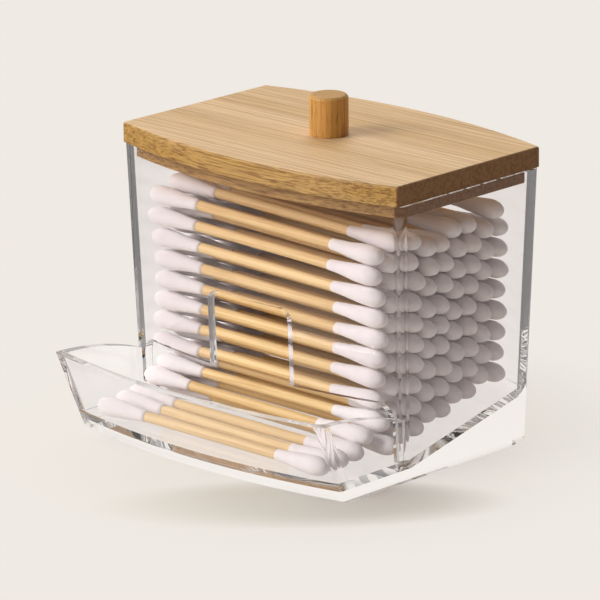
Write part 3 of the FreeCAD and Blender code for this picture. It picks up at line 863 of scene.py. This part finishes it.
# ---------------------------------------------------------------- operators
class SWABS_OT_clear_box(Operator):
    """Build the clear moulding with its tray, ramp and openings"""
    bl_idname = "swabs.clear_box"
    bl_label = "Clear Box"

    def execute(self, context):
        settings = context.scene.clear_box_settings
        body = moulding(settings)
        shape = bmesh.new()
        shape.from_mesh(body.data)
        bpy.data.objects.remove(body)
        bmesh.ops.remove_doubles(shape, verts=shape.verts, dist=SAME_CORNER)
        bmesh.ops.dissolve_limit(
            shape, angle_limit=FLAT_CUT, verts=shape.verts, edges=shape.edges,
        )
        torn = [edge for edge in shape.edges if not edge.is_manifold]
        if torn:
            raise RuntimeError(f"the moulding has {len(torn)} open edges")
        round_edges(shape, rear_bend(shape, settings), settings.bend, BEND_STEPS)
        round_edges(shape, sharp_edges(shape, False), settings.crease_round)
        round_edges(shape, sharp_edges(shape, True), settings.rim_round)
        bmesh.ops.remove_doubles(shape, verts=shape.verts, dist=SAME_ROUNDED_CORNER)
        bmesh.ops.translate(shape, verts=shape.verts, vec=(0, AXIS_Y, 0))
        name = "clear_plastic_box"
        plastic = clear_plastic(settings)
        new_piece(name, finished_mesh(shape, name), plastic, "box", "clear_plastic", "clear_box")
        return {"FINISHED"}


class SWABS_OT_lid(Operator):
    """Build the bamboo board with its step and sanded edges"""
    bl_idname = "swabs.lid"
    bl_label = "Bamboo Lid"

    def execute(self, context):
        bamboo_piece("lid", "bamboo_lid", bamboo_board, context.scene.bamboo_settings)
        return {"FINISHED"}


class SWABS_OT_knob(Operator):
    """Build the turned bamboo knob"""
    bl_idname = "swabs.knob"
    bl_label = "Bamboo Knob"

    def execute(self, context):
        bamboo_piece("knob", "bamboo_knob", bamboo_knob, context.scene.bamboo_settings)
        return {"FINISHED"}


class SWABS_OT_sticks(Operator):
    """Build the wooden sticks of every layer"""
    bl_idname = "swabs.sticks"
    bl_label = "Swab Sticks"

    def execute(self, context):
        settings = context.scene.swab_settings
        wood = peeled_wood(settings)
        for node in STICK_NODES:
            tubes = []
            for points in loose_parts(node):
                left, right = ends(points)
                tubes.append((stick_rings(left, right, settings), right - left, tone_at(left)))
            name = "wooden_" + node
            mesh = tube_mesh(name, tubes, settings.stick_sides)
            new_piece(name, mesh, wood, "box", "stick_wood", node)
        return {"FINISHED"}


class SWABS_OT_cotton(Operator):
    """Build the wound cotton buds of every layer"""
    bl_idname = "swabs.cotton"
    bl_label = "Cotton Buds"

    def execute(self, context):
        settings = context.scene.swab_settings
        cotton = wound_cotton(settings)
        for node in COTTON_NODES:
            tubes = []
            for points in loose_parts(node):
                left = ring_middle(points, points[:, 0].min())
                right = ring_middle(points, points[:, 0].max())
                tip, neck = (left, right) if right[0] < 0 else (right, left)
                tubes.append((bud_rings(tip, neck, settings), neck - tip, tone_at(tip)))
            name = "wound_" + node
            mesh = tube_mesh(name, tubes, settings.bud_sides)
            new_piece(name, mesh, cotton, "box", "cotton", node)
        return {"FINISHED"}


class SWABS_OT_stage(Operator):
    """Set up the floor, the soft light, the surroundings and the camera"""
    bl_idname = "swabs.stage"
    bl_label = "Stage"

    def execute(self, context):
        settings = context.scene.stage_settings
        floor(settings)
        surroundings(settings)
        lamp("key_light", size=1.1, place=(-0.9, -1.5, 1.0), power=32)
        lamp("top_light", size=1.0, place=(-0.6, 0.65, 1.4), power=11)
        camera(settings)
        paths = context.scene.cycles
        paths.max_bounces = paths.glossy_bounces = paths.transmission_bounces = settings.bounces
        context.scene.view_settings.view_transform = "Standard"
        return {"FINISHED"}


# ---------------------------------------------------------------- stage
LOWEST, HIGHEST = (Vector(corner) for corner in CAD_BOUNDS)
MIDDLE = (LOWEST + HIGHEST) / 2
TARGET = MIDDLE + Vector((-7.5, 9.1, -10.9)) * MM
# The floor's disc, and how far it lies below the holder.
FLOOR_RADIUS, FLOOR_DROP = 6, 0.2 * MM
# Distances from the middle of the floor between which it turns to what mirrors and edges show.
MIRRORED_FROM, MIRRORED_FULL, FLAG_FULL = 0.1, 0.17, 0.11
# The shadow in front, partly the lamps' shadow and partly painted shadow from the darker floor
# paint: half of what it spans in X + Y and in X - Y, and its middle's X - Y.
SHADOW_SUM, SHADOW_DIFFERENCE, SHADOW_MIDDLE = 0.08, 0.03, 0.072
# The faint shadow all around, partly the lamps' shadow and partly painted shadow from the darker
# floor paint: where it starts to fade, where it ends, and its share.
AROUND_FROM, AROUND_END, AROUND_SHARE = 0.05, 0.1, 0.25
# Soft light from the left and from the right.
LEFT_LIGHT, RIGHT_LIGHT = (0.46, 0.45, 0.45), (0.2, 0.19, 0.195)


def light_paths(finish):
    """Whether a ray is the eye's, mirrored, let through, or turned back inside a clear wall."""
    kinds = ("Is Camera Ray", "Is Glossy Ray", "Is Transmission Ray", "Glossy Depth")
    seen, mirrored, through, turns = (finish.node("LightPath", output=kind) for kind in kinds)
    return seen, mirrored, through, turns > 0.5


def floor(settings):
    """A wide disc that shows the lamps' shadows near the holder, deepened there by painted shadow
    from darker floor paint, and fades into the surroundings.
    """
    finish = Finish("studio_floor")
    place = finish.place()
    seen, mirrored, through, turned = light_paths(finish)
    x, y, _ = finish.parts(place)
    across = finish.node("VectorMath", {"operation": "LENGTH"}, {0: place}, output=1)
    lit = finish.node("BsdfDiffuse", None, {"Color": settings.floor})
    far = across.ramp(MIRRORED_FROM, MIRRORED_FULL)
    shown = finish.mix(settings.backdrop, settings.mirrored, far * mirrored)
    clear = finish.mix(settings.glow, settings.flag, across.ramp(0, FLAG_FULL) * turned)
    shown = finish.mix(shown, clear, through)
    plain = finish.node("Emission", None, {"Color": shown, "Strength": 1.0})
    # Painted shadow mask: in this ellipse and the ring around it, the floor shows its darker lit
    # paint, which deepens the lamps' shadow.
    side, ahead = (x + y) / SHADOW_SUM, (x - y - SHADOW_MIDDLE) / SHADOW_DIFFERENCE
    front = (side * side + ahead * ahead).ramp(0.1, 1, 1, 0)
    shadow = front.larger(across.ramp(AROUND_FROM, AROUND_END, AROUND_SHARE, 0))
    away = ((1 - shadow) * seen).larger(mirrored).larger(through)
    finish.output(finish.node("MixShader", None, {0: away, 1: lit, 2: plain}))
    shape = bmesh.new()
    bmesh.ops.create_circle(shape, cap_ends=True, segments=96, radius=FLOOR_RADIUS)
    bmesh.ops.translate(shape, verts=shape.verts, vec=(0, 0, -FLOOR_DROP))
    mesh = bpy.data.meshes.new("studio_floor")
    shape.to_mesh(mesh)
    shape.free()
    mesh.materials.append(finish.data)
    disc = bpy.data.objects.new("studio_floor", mesh)
    bpy.context.scene.collection.objects.link(disc)


def surroundings(settings):
    """Even soft light, with grey flags to the sides that only clear and glossy surfaces show."""
    world = bpy.data.worlds.new("studio")
    bpy.context.scene.world = world
    finish = Finish("studio", world)
    x, y, z = finish.parts(finish.node("TexCoord", output=0))
    seen, mirrored, through, turned = light_paths(finish)
    stripes = abs((x * 2.3 + y * 3.1 + z * 4.7).fraction() - 0.5)
    card = finish.mix(settings.backdrop, settings.flag, stripes.ramp(0.2, 0.34, 1, 0))
    shown = finish.mix(settings.glow, card, turned.larger(mirrored))
    soft = finish.mix(LEFT_LIGHT, RIGHT_LIGHT, x.ramp(-0.5, 0.4))
    shown = finish.mix(soft, shown, mirrored.larger(through))
    shown = finish.mix(shown, settings.backdrop, seen)
    light = finish.node("Background", None, {"Color": shown, "Strength": 1.0})
    finish.output(light, "OutputWorld")


def lamp(name, size, place, power):
    """A square soft light aimed at the holder."""
    data = bpy.data.lights.new(name, "AREA")
    data.size = size
    data.energy = power
    light = bpy.data.objects.new(name, data)
    light.location = Vector(place)
    light.visible_transmission = False
    light.rotation_euler = (light.location - MIDDLE).to_track_quat("Z", "Y").to_euler()
    bpy.context.scene.collection.objects.link(light)


def camera(settings):
    """The camera on its orbit around the point that it looks at."""
    azimuth, elevation, roll = settings.azimuth, settings.elevation, settings.roll
    back = Vector((
        math.sin(azimuth) * math.cos(elevation),
        -math.cos(azimuth) * math.cos(elevation),
        math.sin(elevation),
    ))
    level = Vector((math.cos(azimuth), math.sin(azimuth), 0))
    upright = back.cross(level)
    right = level * math.cos(roll) + upright * math.sin(roll)
    up = upright * math.cos(roll) - level * math.sin(roll)
    data = bpy.data.cameras.new("camera")
    data.lens = settings.lens
    data.sensor_width = 36
    data.clip_start = 0.05
    eye = bpy.data.objects.new("camera", data)
    turned = Matrix((right, up, back)).transposed().to_4x4()
    eye.matrix_world = Matrix.Translation(TARGET + back * settings.distance) @ turned
    bpy.context.scene.collection.objects.link(eye)
    bpy.context.scene.camera = eye


# ---------------------------------------------------------------- add-on
OPERATORS = (
    SWABS_OT_clear_box, SWABS_OT_lid, SWABS_OT_knob,
    SWABS_OT_sticks, SWABS_OT_cotton, SWABS_OT_stage,
)
SETTINGS = {
    "clear_box_settings": ClearBoxSettings,
    "bamboo_settings": BambooSettings,
    "swab_settings": SwabSettings,
    "stage_settings": StageSettings,
}


class SWABS_PT_sidebar(Panel):
    """Lists the pieces of the swab holder"""
    bl_idname = "SWABS_PT_sidebar"
    bl_label = "Swab Holder"
    bl_space_type = "VIEW_3D"
    bl_region_type = "UI"
    bl_category = "Swab Holder"

    def draw(self, context):
        for operator in OPERATORS:
            self.layout.operator(operator.bl_idname)


def register():
    for each in (*SETTINGS.values(), *OPERATORS, SWABS_PT_sidebar):
        bpy.utils.register_class(each)
    for name, group in SETTINGS.items():
        setattr(bpy.types.Scene, name, PointerProperty(type=group))


def unregister():
    for name in SETTINGS:
        delattr(bpy.types.Scene, name)
    for each in reversed((*SETTINGS.values(), *OPERATORS, SWABS_PT_sidebar)):
        bpy.utils.unregister_class(each)


def main():
    register()
    bpy.ops.swabs.clear_box()
    bpy.ops.swabs.lid()
    bpy.ops.swabs.knob()
    bpy.ops.swabs.sticks()
    bpy.ops.swabs.cotton()
    bpy.ops.swabs.stage()


if __name__ == "__main__":
    main()
